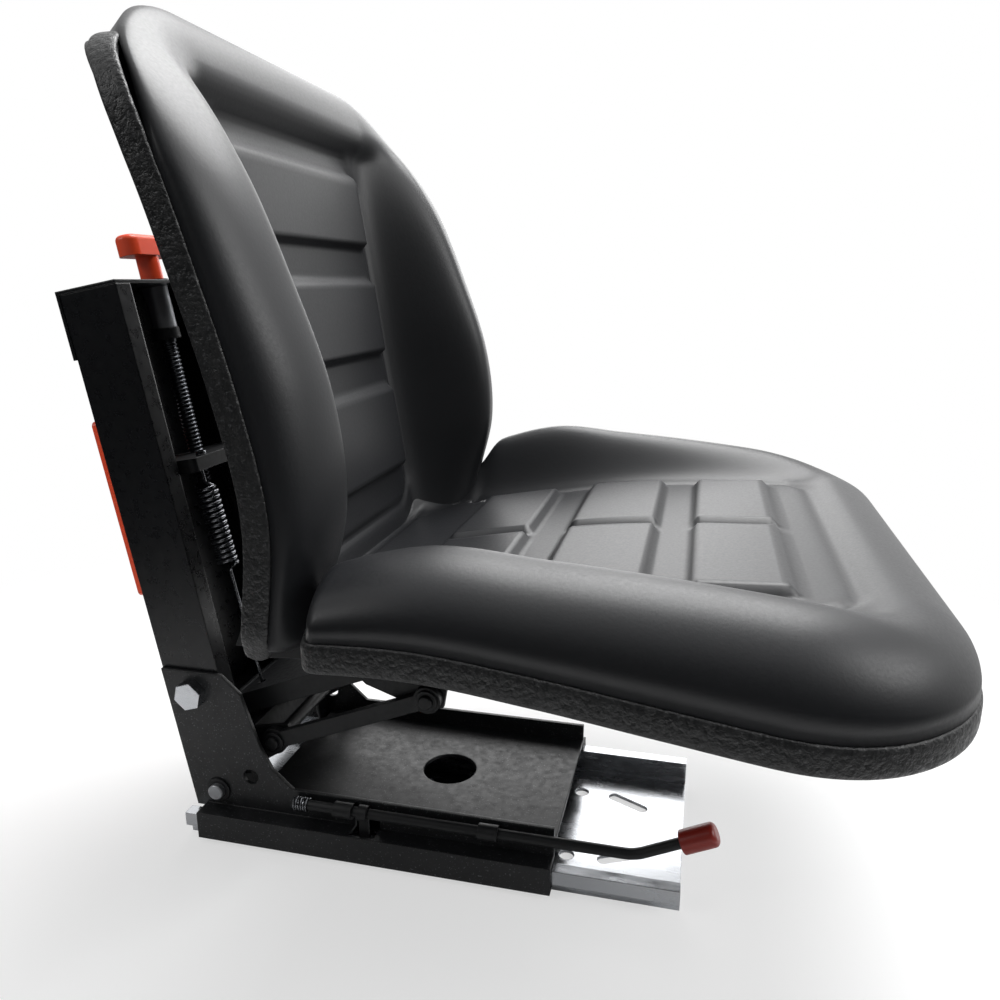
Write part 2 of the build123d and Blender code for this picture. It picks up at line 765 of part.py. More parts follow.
# Main springs: a close coil with a straight leg at each end, bent over at its tip
spring_span = (spring_high - spring_low).length
coil_top = spring_span - spring_coil_drop
coil_low = coil_top - spring_coil_length
leg_under = upper_sheet + 2.0
leg_over = yoke_thick + 2.0
for spring_name, side_y in (("main_spring_right", -spring_y), ("main_spring_left", spring_y)):
    spring_foot = spring_low + Vector(0, side_y, 0)
    with BuildPart() as main_spring:
        with BuildLine():
            coil_path = Helix(
                pitch=spring_coil_length / spring_turns,
                height=spring_coil_length,
                radius=spring_coil_r,
                center=spring_foot + spring_axis * coil_low,
                direction=spring_axis,
            )
        with BuildSketch(Plane(origin=coil_path @ 0, z_dir=coil_path % 0)):
            RegularPolygon(spring_wire_r, 8)
        sweep(path=coil_path)
        hook_out = Vector(spring_leg * cos(lean), 0, spring_leg * sin(lean))
        for coil_end, turn_in, tip, bend_out in (
            (coil_path @ 0, coil_low - 4.0, -leg_under, hook_out),
            (coil_path @ 1, coil_top + 4.0, spring_span + leg_over, hook_out),
        ):
            tip_place = spring_foot + spring_axis * tip
            with BuildLine():
                leg_path = Polyline(
                    coil_end,
                    spring_foot + spring_axis * turn_in,
                    tip_place,
                    tip_place + bend_out,
                )
            with BuildSketch(Plane(origin=leg_path @ 0, z_dir=leg_path % 0)):
                RegularPolygon(spring_wire_r, 8)
            sweep(path=leg_path, transition=Transition.RIGHT)
    main_spring.part.label = spring_name
    export_step(main_spring.part, f"parts/{spring_name}.step")

# Latch lever: a bent rod, its soft cap, the latch tooth and the return spring
with BuildPart() as lever_rod:
    with BuildLine():
        bend = radians(rod_bend_turn)
        bend_middle = (rod_bend_x, rod_y, rod_z)
        tip_z = rod_z + (rod_tip_x - rod_bend_x) * tan(bend)
        rod_path = FilletPolyline(
            (rod_rear, rod_y, rod_z),
            bend_middle,
            (rod_tip_x, rod_y, tip_z),
            radius=rod_bend_r,
        )
    with BuildSketch(Plane(origin=(rod_rear, rod_y, rod_z), z_dir=(1, 0, 0))):
        Circle(rod_r)
    sweep(path=rod_path)
lever_rod.part.label = "lever_rod"

tip_axis = Vector(cos(bend), 0, sin(bend))
tip_place = Vector(rod_tip_x, rod_y, tip_z)
with BuildPart() as lever_cap:
    cap_start = Plane(origin=tip_place - tip_axis * (lever_cap_length - 4.0), z_dir=tip_axis)
    with BuildSketch(cap_start):
        Circle(lever_cap_r)
    extrude(amount=lever_cap_length)
    cap_ends = lever_cap.edges().filter_by(GeomType.CIRCLE).sort_by(Axis.X)
    fillet(cap_ends[-1], 3.5)
    fillet(lever_cap.edges().filter_by(GeomType.CIRCLE).sort_by(Axis.X)[0], 1.0)
    with BuildSketch(cap_start):
        Circle(rod_r + pin_gap)
    extrude(amount=lever_cap_length - 4.0, mode=Mode.SUBTRACT)
lever_cap.part.label = "lever_cap"

with BuildPart() as latch_plate:
    with BuildSketch(Plane.YZ.offset(latch_x - latch_length / 2)):
        with Locations((rod_y, rod_z)):
            Circle(rod_r + rod_ring)
        latch_low = rail_height + run_gap
        with Locations((rod_y, (latch_low + rod_z) / 2)):
            Rectangle(latch_thick, rod_z - latch_low)
        with Locations((rod_y, rod_z)):
            Circle(rod_r + pin_gap, mode=Mode.SUBTRACT)
    extrude(amount=latch_length)
latch_plate.part.label = "latch_plate"

with BuildPart() as lever_brackets:
    for bracket_x in lever_bracket_xs:
        with BuildSketch(Plane.YZ.offset(bracket_x)):
            with Locations((rod_y, rod_z)):
                Circle(rod_r + rod_ring)
            with Locations(((rod_y - flange_outer) / 2, rod_z)):
                Rectangle(-flange_outer - rod_y, 2 * rod_r + 1.0)
            with Locations((rod_y, rod_z)):
                Circle(rod_r + pin_gap, mode=Mode.SUBTRACT)
        extrude(amount=lever_bracket_length)
lever_brackets.part.label = "lever_brackets"

with BuildPart() as lever_spring:
    return_r = rod_r + run_gap + return_wire_r
    with BuildLine():
        return_path = Helix(
            pitch=return_pitch,
            height=return_turns * return_pitch,
            radius=return_r,
            center=(rod_rear + 2.0, rod_y, rod_z),
            direction=(1, 0, 0),
        )
    with BuildSketch(Plane(origin=return_path @ 0, z_dir=return_path % 0)):
        RegularPolygon(return_wire_r, 8)
    sweep(path=return_path)
lever_spring.part.label = "lever_spring"


def seat_outline(inset, tuck=0.0):
    """The seat's plan drawn in by an inset, and by a tuck at its rear, on a plane below the seat."""
    with BuildSketch(Plane.XY.offset(outline_start), mode=Mode.PRIVATE) as plan:
        with BuildLine():
            Polyline(
                (shell_rear_x + tuck, -shell_flat),
                (rear_chamfer_x + tuck, -waist_half_width),
                (waist_x[0], -waist_half_width),
                (waist_x[1], -seat_half_width),
                (seat_front, -seat_half_width),
                (seat_front, seat_half_width),
                (waist_x[1], seat_half_width),
                (waist_x[0], waist_half_width),
                (rear_chamfer_x + tuck, waist_half_width),
                (shell_rear_x + tuck, shell_flat),
                close=True,
            )
        make_face()
        fillet(plan.vertices().group_by(Axis.X)[-1], seat_corner_r)
        fillet(plan.vertices().group_by(Axis.X)[3], 16.0)
        fillet(plan.vertices().group_by(Axis.X)[2], 10.0)
        offset(amount=-inset, mode=Mode.REPLACE)
    return plan.sketch


def back_outline(inset, tuck=0.0, top=back_top, corner_r=back_corner_r):
    """The back's front view drawn in by an inset, and by a tuck at its foot, on a plane behind it."""
    behind = Plane(origin=(behind_start, 0, 0), x_dir=(0, 1, 0), z_dir=(1, 0, 0))
    with BuildSketch(behind, mode=Mode.PRIVATE) as view:
        with BuildLine():
            Polyline(
                (-shell_flat, back_low + tuck),
                (-waist_half_width, low_chamfer_z + tuck),
                (-waist_half_width, waist_z[0]),
                (-back_half_width, waist_z[1]),
                (-back_half_width, top),
                (back_half_width, top),
                (back_half_width, waist_z[1]),
                (waist_half_width, waist_z[0]),
                (waist_half_width, low_chamfer_z + tuck),
                (shell_flat, back_low + tuck),
                close=True,
            )
        make_face()
        fillet(view.vertices().group_by(Axis.Y)[-1], corner_r)
        fillet(view.vertices().group_by(Axis.Y)[3], 12.0)
        fillet(view.vertices().group_by(Axis.Y)[2], 12.0)
        offset(amount=-inset, mode=Mode.REPLACE)
    return view.sketch


def cushion_section(plane, half, panel, crest, edge, rear, panel_half, crest_half):
    """One closed section of the cushion: a smooth front and a stepped rear that sits in the shell."""
    crest_y = min(crest_half, half - 0.25 * half)
    panel_y = min(panel_half, crest_y - 0.2 * half)
    rim = edge + sheet_gap
    top = [
        (0.5 * panel_y, panel),
        (panel_y - 8.0, panel),
        (panel_y + 6.0, panel + 0.1 * (crest - panel)),
        (0.5 * (panel_y + crest_y) + 2.0, panel + 0.6 * (crest - panel)),
        (crest_y, crest),
    ]
    for turn in (30.0, 60.0, 80.0, 90.0):
        across = crest_y + (half - crest_y) * sin(radians(turn))
        top.append((across, rim + (crest - rim) * cos(radians(turn))))
    front = [(-y, h) for y, h in reversed(top)] + [(0, panel)] + top
    even = [i / (len(front) - 1) for i in range(len(front))]
    step = half - 6.8
    with BuildSketch(plane, mode=Mode.PRIVATE) as section:
        with BuildLine():
            add(Edge.make_spline([Vector(y, h) for y, h in front], parameters=even))
            Polyline(
                (half, rim),
                (step, rim),
                (step, edge - foam_step),
                (shell_flat - 3.0, rear + shell_sheet + foam_gap),
                (3.0 - shell_flat, rear + shell_sheet + foam_gap),
                (-step, edge - foam_step),
                (-step, rim),
                (-half, rim),
            )
        make_face()
    return section.sketch.faces()[0]


def shell_section(plane, half, edge, rear, top):
    """One closed section of the shell's outside or inside."""
    with BuildSketch(plane, mode=Mode.PRIVATE) as section:
        with BuildLine():
            Polyline(
                (half, top),
                (half, edge),
                (shell_flat, rear),
                (-shell_flat, rear),
                (-half, edge),
                (-half, top),
                close=True,
            )
        make_face()
    return section.sketch.faces()[0]


def corner_half(place, end, full, radius):
    """Half width where a rounded corner ends a panel."""
    reach = min(max(place - (end - radius), 0.0), radius)
    return full - radius + (radius * radius - reach * reach) ** 0.5


def panel_at(rows, place):
    """The panel's height or depth between two rows."""
    for (a, low, *_), (b, high, *_) in zip(rows, rows[1:]):
        if a <= place <= b:
            return low + (high - low) * (place - a) / (b - a)
    return rows[-1][1]


def seat_plane(x):
    return Plane.YZ.offset(x)


def back_plane(z):
    return Plane(origin=(0, 0, z), x_dir=(0, 1, 0), z_dir=(0, 0, -1))


# Seat shell: one pressed sheet, with four studs welded underneath
with BuildPart() as seat_outside:
    loft([
        shell_section(seat_plane(x), seat_half_width, e - 14.0, shell_bottom(x), e - 3.0)
        for x, p, c, e in seat_rows
    ])
    extrude(seat_outline(trim_thick + run_gap), amount=400.0, mode=Mode.INTERSECT)
with BuildPart() as back_outside:
    loft([
        shell_section(back_plane(z), back_half_width, e - 14.0, p - foam_back, e - 3.0)
        for z, p, c, e in back_rows
    ])
    extrude(back_outline(trim_thick + run_gap), amount=400.0, mode=Mode.INTERSECT)
with BuildPart() as seat_inside:
    loft([
        shell_section(seat_plane(x), seat_half_width, e - 12.0, shell_bottom(x) + shell_sheet, e + 25.0)
        for x, p, c, e in seat_rows
    ])
    extrude(seat_outline(trim_thick + run_gap + shell_sheet), amount=400.0, mode=Mode.INTERSECT)
with BuildPart() as back_inside:
    loft([
        shell_section(back_plane(z), back_half_width, e - 12.0, p - foam_back + shell_sheet, e + 25.0)
        for z, p, c, e in back_rows
    ])
    extrude(back_outline(trim_thick + run_gap + shell_sheet), amount=400.0, mode=Mode.INTERSECT)
stud_length = carrier_sheet + run_gap + stud_nut_height + 3.0
with BuildPart() as seat_shell:
    add(seat_outside.part)
    add(back_outside.part)
    add(seat_inside.part, mode=Mode.SUBTRACT)
    add(back_inside.part, mode=Mode.SUBTRACT)
    with BuildSketch(plate_top.offset(run_gap + 1.0)):
        for stud_x in stud_xs:
            with Locations((stud_x, stud_y), (stud_x, -stud_y)):
                Circle(stud_r)
    extrude(amount=-stud_length - 1.0)
seat_shell.part.label = "seat_shell"

# Seat nuts under the carrier plate
with BuildPart() as seat_nuts:
    with BuildSketch(plate_top.offset(-carrier_sheet)):
        for stud_x in stud_xs:
            with Locations((stud_x, stud_y), (stud_x, -stud_y)):
                RegularPolygon(stud_nut_flats / 2, 6, major_radius=False)
                Circle(stud_r + pin_gap, mode=Mode.SUBTRACT)
    extrude(amount=-stud_nut_height)
seat_nuts.part.label = "seat_nuts"

# Edge trim: a rubber strip in two lengths, round the seat and round the back
seat_edge = [(seat_trim_end, seat_trim_z)] + [(x, e) for x, p, c, e in seat_rows if x > -10.0]
back_edge = [(back_trim_x, back_trim_end)] + [(e, z) for z, p, c, e in back_rows if z > 240.0]
with BuildPart() as back_trim:
    with BuildSketch(Plane.XZ.offset(-back_half_width - 10.0)):
        with BuildLine():
            Spline(*back_edge)
            Spline(*[(x - trim_height, z) for x, z in back_edge])
            for x, z in (back_edge[0], back_edge[-1]):
                Line((x, z), (x - trim_height, z))
        make_face()
    extrude(amount=2 * back_half_width + 20.0)
    extrude(back_outline(0.0), amount=400.0, mode=Mode.INTERSECT)
    extrude(back_outline(trim_thick), amount=400.0, mode=Mode.SUBTRACT)
with BuildPart() as edge_trim:
    with BuildSketch(Plane.XZ.offset(-seat_half_width - 10.0)):
        with BuildLine():
            Spline(*seat_edge)
            Spline(*[(x, z - trim_height) for x, z in seat_edge])
            for x, z in (seat_edge[0], seat_edge[-1]):
                Line((x, z), (x, z - trim_height))
        make_face()
    extrude(amount=2 * seat_half_width + 20.0)
    extrude(seat_outline(0.0), amount=400.0, mode=Mode.INTERSECT)
    extrude(seat_outline(trim_thick), amount=400.0, mode=Mode.SUBTRACT)
    add(back_trim.part)
edge_trim.part.label = "edge_trim"

# Cushion: one foam and vinyl moulding with bolsters and raised pads
foam_inset = trim_thick + run_gap + shell_sheet + sheet_gap
with BuildPart() as back_rim_cut:
    with BuildSketch(Plane.XZ.offset(-back_half_width - 20.0)):
        with BuildLine():
            rim_line = [(x + rim_gap, z) for x, z in back_edge]
            Spline(*rim_line)
            Polyline(
                rim_line[-1],
                (rim_line[-1][0], roll_top + 20.0),
                (behind_start, roll_top + 20.0),
                (behind_start, back_low - 20.0),
                (rim_line[0][0], back_low - 20.0),
                rim_line[0],
            )
        make_face()
    extrude(amount=2 * back_half_width + 40.0)
    with Locations((0, 0, waist_roof - 100.0)):
        Box(300.0, 2 * back_half_width, 200.0)
    extrude(back_outline(-8.0, 0.0, roll_top, roll_corner_r), amount=500.0, mode=Mode.INTERSECT)
    extrude(back_outline(foam_inset, 4.0), amount=500.0, mode=Mode.SUBTRACT)
with BuildPart() as seat_rim_cut:
    with BuildSketch(Plane.XZ.offset(-seat_half_width - 20.0)):
        with BuildLine():
            rim_line = [(x, z + rim_gap) for x, z in seat_edge]
            Spline(*rim_line)
            Polyline(
                rim_line[-1],
                (seat_front + 20.0, rim_line[-1][1]),
                (seat_front + 20.0, outline_start + 20.0),
                (shell_rear_x - 20.0, outline_start + 20.0),
                (shell_rear_x - 20.0, rim_line[0][1]),
                rim_line[0],
            )
        make_face()
    extrude(amount=2 * seat_half_width + 40.0)
    with Locations((waist_face - 80.0, 0, 280.0)):
        Box(160.0, 2 * seat_half_width, 200.0)
    extrude(seat_outline(-8.0), amount=400.0, mode=Mode.INTERSECT)
    extrude(seat_outline(foam_inset, 4.0), amount=400.0, mode=Mode.SUBTRACT)
with BuildPart() as back_foam:
    loft([
        cushion_section(
            back_plane(z),
            corner_half(z, roll_top, back_half_width, roll_corner_r) - 1.0,
            p, c, e, p - foam_back, panel_half_back, crest_half_back,
        )
        for z, p, c, e in back_rows
    ])
    extrude(back_outline(1.0, 0.0, roll_top, roll_corner_r), amount=400.0, mode=Mode.INTERSECT)
    add(back_rim_cut.part, mode=Mode.SUBTRACT)
    add(seat_rim_cut.part, mode=Mode.SUBTRACT)
with BuildPart() as seat_pads:
    for pad_rear, pad_front in seat_pad_xs:
        rear_z = panel_at(seat_rows, pad_rear)
        front_z = panel_at(seat_rows, pad_front)
        pad_plane = Plane(
            origin=((pad_rear + pad_front) / 2, 0, (rear_z + front_z) / 2),
            x_dir=(pad_front - pad_rear, 0, front_z - rear_z),
            z_dir=(rear_z - front_z, 0, pad_front - pad_rear),
        )
        pad_width = seat_pad_half - seat_pad_split / 2
        with BuildSketch(pad_plane.offset(-pad_sink)):
            with GridLocations(1.0, seat_pad_split + pad_width, 1, 2):
                RectangleRounded(pad_front - pad_rear, pad_width, pad_corner_r)
        extrude(amount=pad_sink + pad_rise)
        fillet(seat_pads.faces(Select.LAST).sort_by(Axis(pad_plane.origin, pad_plane.z_dir))[-2:].edges(), pad_edge_r)
with BuildPart() as back_pads:
    for pad_low, pad_high in back_pad_zs:
        low_x = panel_at(back_rows, pad_low)
        high_x = panel_at(back_rows, pad_high)
        pad_plane = Plane(
            origin=((low_x + high_x) / 2, 0, (pad_low + pad_high) / 2),
            x_dir=(0, 1, 0),
            z_dir=(pad_high - pad_low, 0, low_x - high_x),
        )
        with BuildSketch(pad_plane.offset(-pad_sink)):
            RectangleRounded(2 * back_pad_half, pad_high - pad_low, pad_corner_r)
        extrude(amount=pad_sink + pad_rise)
        fillet(back_pads.faces(Select.LAST).sort_by(Axis(pad_plane.origin, pad_plane.z_dir))[-1].edges(), pad_edge_r)
with BuildPart() as seat_cushion:
    loft([
        cushion_section(
            seat_plane(x),
            corner_half(x, seat_front, seat_half_width, seat_corner_r) - 1.0,
            p, c, e, shell_bottom(x), panel_half_seat, crest_half_seat,
        )
        for x, p, c, e in seat_rows
    ])
    extrude(seat_outline(1.0), amount=400.0, mode=Mode.INTERSECT)
    add(seat_rim_cut.part, mode=Mode.SUBTRACT)
    add(back_foam.part)
    add(seat_pads.part)
    add(back_pads.part)
seat_cushion.part.label = "seat_cushion"

for piece in (
    lower_rail, slide_base, slide_glides, rear_tower, tower_cap, tower_bolts, tower_nuts,
    foot_pin, foot_clips, weight_scale, link_bracket, bracket_bolts, pivot_spacers, upper_link,
    seat_carrier, adjuster_screw, adjuster_bush, screw_collar, thrust_washer, adjuster_knob,
    spring_yoke, lever_rod, lever_cap, latch_plate, lever_brackets, lever_spring, seat_shell,
    seat_nuts, edge_trim, seat_cushion,
):
    export_step(piece.part, f"parts/{piece.part.label}.step")
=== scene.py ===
import math
import bpy
import numpy as np
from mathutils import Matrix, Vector


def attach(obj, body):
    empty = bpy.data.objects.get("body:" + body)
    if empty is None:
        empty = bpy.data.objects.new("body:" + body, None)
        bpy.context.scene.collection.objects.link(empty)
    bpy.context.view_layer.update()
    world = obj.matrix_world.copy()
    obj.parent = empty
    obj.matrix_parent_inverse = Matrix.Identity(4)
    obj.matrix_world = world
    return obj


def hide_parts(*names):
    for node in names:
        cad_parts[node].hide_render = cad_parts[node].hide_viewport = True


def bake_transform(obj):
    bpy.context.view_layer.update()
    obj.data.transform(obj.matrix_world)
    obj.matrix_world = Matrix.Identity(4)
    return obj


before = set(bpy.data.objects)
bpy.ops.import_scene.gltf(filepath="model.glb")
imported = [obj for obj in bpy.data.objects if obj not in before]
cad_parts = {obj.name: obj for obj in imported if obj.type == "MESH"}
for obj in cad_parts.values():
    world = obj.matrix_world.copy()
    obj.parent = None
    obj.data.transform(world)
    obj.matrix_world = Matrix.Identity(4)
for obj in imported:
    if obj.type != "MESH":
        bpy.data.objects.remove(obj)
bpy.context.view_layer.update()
scene = bpy.context.scene
mm = 0.001  # every shape below is worked out in millimetres
print("frame loaded")


def linear(hexText):
    # sRGB hex to linear colour
    parts = [int(hexText[i:i + 2], 16) / 255 for i in (1, 3, 5)]
    return [c / 12.92 if c <= 0.04045 else ((c + 0.055) / 1.055) ** 2.4 for c in parts] + [1.0]


def node(tree, kind, settings=None, inputs=None):
    # one shader node with its settings, and its inputs as values or links
    made = tree.nodes.new(kind)
    for key, value in (settings or {}).items():
        setattr(made, key, value)
    for key, value in (inputs or {}).items():
        if isinstance(value, bpy.types.NodeSocket):
            tree.links.new(value, made.inputs[key])
        else:
            made.inputs[key].default_value = value
    return made


def material(spec):
    # a principled surface: grain gives bump and roughness, specks give dust on the slide base and painted
    # glints on the rubber, edge softens corners
    made = bpy.data.materials.new(spec["name"])
    made.use_nodes = True
    tree = made.node_tree
    shader = tree.nodes["Principled BSDF"]
    shader.inputs["Base Color"].default_value = linear(spec["colour"])
    shader.inputs["Roughness"].default_value = spec["roughness"]
    shader.inputs["Metallic"].default_value = spec.get("metallic", 0.0)
    if "specular" in spec:
        shader.inputs["Specular IOR Level"].default_value = spec["specular"]
    place = node(tree, "ShaderNodeTexCoord").outputs["Object"]
    stretch = node(tree, "ShaderNodeMapping", None, {"Vector": place, "Scale": spec.get("stretch", (1, 1, 1))})
    grain = node(tree, "ShaderNodeTexNoise", None, {
        "Vector": stretch.outputs["Vector"],
        "Scale": 1 / (spec["grain"] * mm),
        "Detail": 3.0,
        "Roughness": 0.6,
    }).outputs["Fac"]
    spread = node(tree, "ShaderNodeMapRange", None, {
        "Value": grain,
        "From Min": 0.3,
        "From Max": 0.7,
        "To Min": spec["roughness"] - spec["mottle"],
        "To Max": spec["roughness"] + spec["mottle"],
    })
    tree.links.new(spread.outputs["Result"], shader.inputs["Roughness"])
    # slow change of colour over the surface, and fine specks on top of it: dust on the slide base, painted
    # glints on the rubber
    cloud = node(tree, "ShaderNodeTexNoise", None, {
        "Vector": stretch.outputs["Vector"],
        "Scale": 1 / (spec.get("cloud", 60.0) * mm),
        "Detail": 2.0,
    }).outputs["Fac"]
    tint = node(tree, "ShaderNodeMix", {"data_type": "RGBA"}, {
        "Factor": cloud,
        6: linear(spec["colour"]),
        7: linear(spec.get("second", spec["colour"])),
    }).outputs[2]
    if "specks" in spec:
        dots = node(tree, "ShaderNodeTexNoise", None, {
            "Vector": place,
            "Scale": 1 / (spec["specks"] * mm),
            "Detail": 1.0,
        }).outputs["Fac"]
        few = node(tree, "ShaderNodeMapRange", None, {
            "Value": dots,
            "From Min": 0.66,
            "From Max": 0.74,
            "To Max": spec["speckShare"],
        })
        tint = node(tree, "ShaderNodeMix", {"data_type": "RGBA"}, {
            "Factor": few.outputs["Result"],
            6: tint,
            7: linear(spec["speckColour"]),
        }).outputs[2]
    tree.links.new(tint, shader.inputs["Base Color"])
    dents = node(tree, "ShaderNodeBump", None, {
        "Strength": 1.0,
        "Distance": spec["bump"] * mm,
        "Height": grain,
    })
    if "edge" in spec:
        soft = node(tree, "ShaderNodeBevel", {"samples": 6}, {"Radius": spec["edge"] * mm})
        tree.links.new(soft.outputs["Normal"], dents.inputs["Normal"])
    tree.links.new(dents.outputs["Normal"], shader.inputs["Normal"])
    return made


# Black PVC moulded over foam: satin, with a fine leather grain from the mould
vinyl = material({
    "name": "moulded vinyl", "colour": "#161719", "second": "#1c1d20", "roughness": 0.4, "specular": 0.42,
    "grain": 1.8, "bump": 0.05, "mottle": 0.04,
})
# Extruded rubber edging with a coarse pebble face; its light grey specks are painted glints
rubber = material({
    "name": "pebbled rubber", "colour": "#121314", "second": "#1b1c1d", "roughness": 0.42, "specular": 0.5,
    "grain": 3.0, "bump": 1.1, "mottle": 0.14, "specks": 1.8, "speckShare": 0.35, "speckColour": "#56575a",
})
# Semi-gloss black enamel sprayed on sheet steel, with a little orange peel
enamel = material({
    "name": "black enamel", "colour": "#0e0f11", "second": "#141518", "roughness": 0.3, "specular": 0.45,
    "grain": 7.0, "bump": 0.05, "mottle": 0.06, "edge": 1.4,
})
# The same enamel under handling dust and small scuffs, on the slide base
dustyEnamel = material({
    "name": "dusty black enamel", "colour": "#111214", "second": "#1c1d1f", "roughness": 0.42,
    "specular": 0.45, "grain": 5.0, "bump": 0.05, "mottle": 0.1, "edge": 1.4,
    "specks": 1.3, "speckShare": 0.28, "speckColour": "#8c8e92",
})
# Duller black on the hidden frame and rods
dullEnamel = material({
    "name": "dull black enamel", "colour": "#101113", "second": "#17181a", "roughness": 0.5, "specular": 0.4,
    "grain": 4.0, "bump": 0.05, "mottle": 0.08, "edge": 1.0,
})
# Bright zinc plate on rolled strip: faint streaks along the strip
zinc = material({
    "name": "bright zinc plate", "colour": "#d6d8db", "second": "#b9bcc1", "roughness": 0.24, "metallic": 1.0,
    "grain": 9.0, "bump": 0.03, "mottle": 0.09, "stretch": (0.25, 1, 1), "cloud": 30.0, "edge": 0.8,
})
# Zinc on a turned sleeve, dulled by handling
dullZinc = material({
    "name": "dull zinc plate", "colour": "#b4b6b9", "second": "#9fa1a5", "roughness": 0.5, "metallic": 1.0,
    "grain": 4.0, "bump": 0.03, "mottle": 0.08, "cloud": 15.0, "edge": 0.6,
})
# Oiled steel of the screw, dark between its threads
oiledSteel = material({
    "name": "oiled screw steel", "colour": "#5c5e62", "second": "#44464a", "roughness": 0.32, "metallic": 1.0,
    "grain": 3.0, "bump": 0.02, "mottle": 0.08, "cloud": 10.0,
})
# Oiled steel wire drawn smooth
wire = material({
    "name": "oiled spring steel", "colour": "#9a9ca0", "second": "#77797d", "roughness": 0.28, "metallic": 1.0,
    "grain": 3.0, "bump": 0.01, "mottle": 0.06, "cloud": 12.0,
})
# Injection-moulded red ABS of the knob and the scale
redAbs = material({
    "name": "moulded red ABS", "colour": "#e8431f", "second": "#f0572f", "roughness": 0.36,
    "grain": 2.5, "bump": 0.02, "mottle": 0.05, "cloud": 20.0, "edge": 0.8,
})
# Soft PVC dipped over the lever's end, a darker red
dippedPvc = material({
    "name": "dipped red PVC", "colour": "#8a261b", "second": "#7a1f16", "roughness": 0.34,
    "grain": 5.0, "bump": 0.04, "mottle": 0.05, "cloud": 14.0,
})
# Black nylon of shoes and washers, matt from the mould
nylon = material({
    "name": "black nylon", "colour": "#1d1e20", "roughness": 0.5, "grain": 3.0, "bump": 0.02, "mottle": 0.05,
})
print("materials made")


def meshOf(name, points, faces, finish):
    # a smooth-shaded mesh object from points in millimetres
    data = bpy.data.meshes.new(name)
    data.from_pydata((np.asarray(points) * mm).tolist(), [], [list(map(int, f)) for f in faces])
    data.validate()
    data.polygons.foreach_set("use_smooth", np.ones(len(data.polygons), bool))
    data.materials.append(finish)
    obj = bpy.data.objects.new(name, data)
    scene.collection.objects.link(obj)
    return obj


def gridFaces(rows, cols, wrap=False):
    # quads of a rows by cols grid of points, its columns joined end to end if wrap is set
    i = np.arange(rows - 1)[:, None]
    j = np.arange(cols if wrap else cols - 1)[None, :]
    k = (j + 1) % cols
    quads = np.stack([i * cols + j, i * cols + k, (i + 1) * cols + k, (i + 1) * cols + j], -1)
    return quads.reshape(-1, 4)


def smoothStep(value):
    t = np.clip(value, 0.0, 1.0)
    return t * t * (3 - 2 * t)


def unit(vectors):
    return vectors / np.linalg.norm(vectors, axis=-1, keepdims=True)


def rowValue(rows, column, place):
    # a smooth curve through the rows: cubic Hermite pieces with central slopes
    x = rows[:, 0]
    y = rows[:, column]
    slope = np.gradient(y, x)
    i = np.clip(np.searchsorted(x, place) - 1, 0, len(x) - 2)
    h = x[i + 1] - x[i]
    t = np.clip((place - x[i]) / h, 0, 1)
    a = 2 * t ** 3 - 3 * t ** 2 + 1
    b = t ** 3 - 2 * t ** 2 + t
    c = -2 * t ** 3 + 3 * t ** 2
    d = t ** 3 - t ** 2
    return a * y[i] + b * h * slope[i] + c * y[i + 1] + d * h * slope[i + 1]


# Rows give a place along the part, then panel, crest and edge; the back's are depths on X
seat = {
    "rows": np.array([
        (-88, 206, 238, 234), (-40, 212, 250, 238), (0, 219, 267, 241), (50, 228, 280, 242.5),
        (110, 238, 277, 236.5), (170, 243.5, 272.5, 228), (230, 246.5, 266, 220), (264, 249, 261, 217.5),
        (294, 252, 258, 217), (320, 254, 257, 217),
    ], float),
    "start": -72.0, "end": 319.5, "half": 229.0, "corner": 100.0, "roll": 46.0,
    "waist": 174.5, "flare": (-22.0, 4.0), "hidden": (-72.0, -30.0),
    "panelHalf": 142.0, "crestHalf": 186.0, "panelEnd": 263.0, "panelStart": -60.0, "lift": 4.0,
    "pads": ((1, 63), (91, 152), (177, 232)), "padHalf": 128.0, "padSplit": 9.0,
    "rear": lambda x: np.minimum(178 + 0.115 * x, 202) + 5.0,
}
back = {
    "rows": np.array([
        (172, -58, -24, -44), (230, -67, -20, -34), (290, -76, -6, -29), (350, -86, -11, -40),
        (410, -95, -31, -57), (460, -103, -52, -73), (500, -109, -75, -89), (528, -113, -93, -108.5),
        (551, -116, -103, -121),
    ], float),
    "start": 200.0, "end": 550.5, "half": 201.0, "corner": 92.0, "roll": 44.0,
    "waist": 174.5, "flare": (206.0, 222.0), "hidden": (200.0, 214.0),
    "panelHalf": 111.0, "crestHalf": 158.0, "panelEnd": 500.0, "panelStart": 225.0, "lift": 14.0,
    "pads": ((257, 324), (351, 408), (434.5, 488)), "padHalf": 101.0, "padSplit": -30.0,
    "rear": None,
}
foam = {
    "padRise": 7.0, "padEdge": 7.0, "seamDepth": 2.6, "seamWidth": 3.4, "seamRound": 26.0, "rimGap": 0.3,
    "hiddenHalf": 118.0, "step": 7.0, "stepDrop": 10.0, "flat": 87.0, "thick": 28.3,
    "straightRows": 124, "cornerRows": 36, "columns": 151, "crowding": 0.2, "crowdPower": 2.2,
    "liftRun": 24.0, "lip": 0.5, "fadeFrom": 24.0, "fadeRun": 20.0,
}


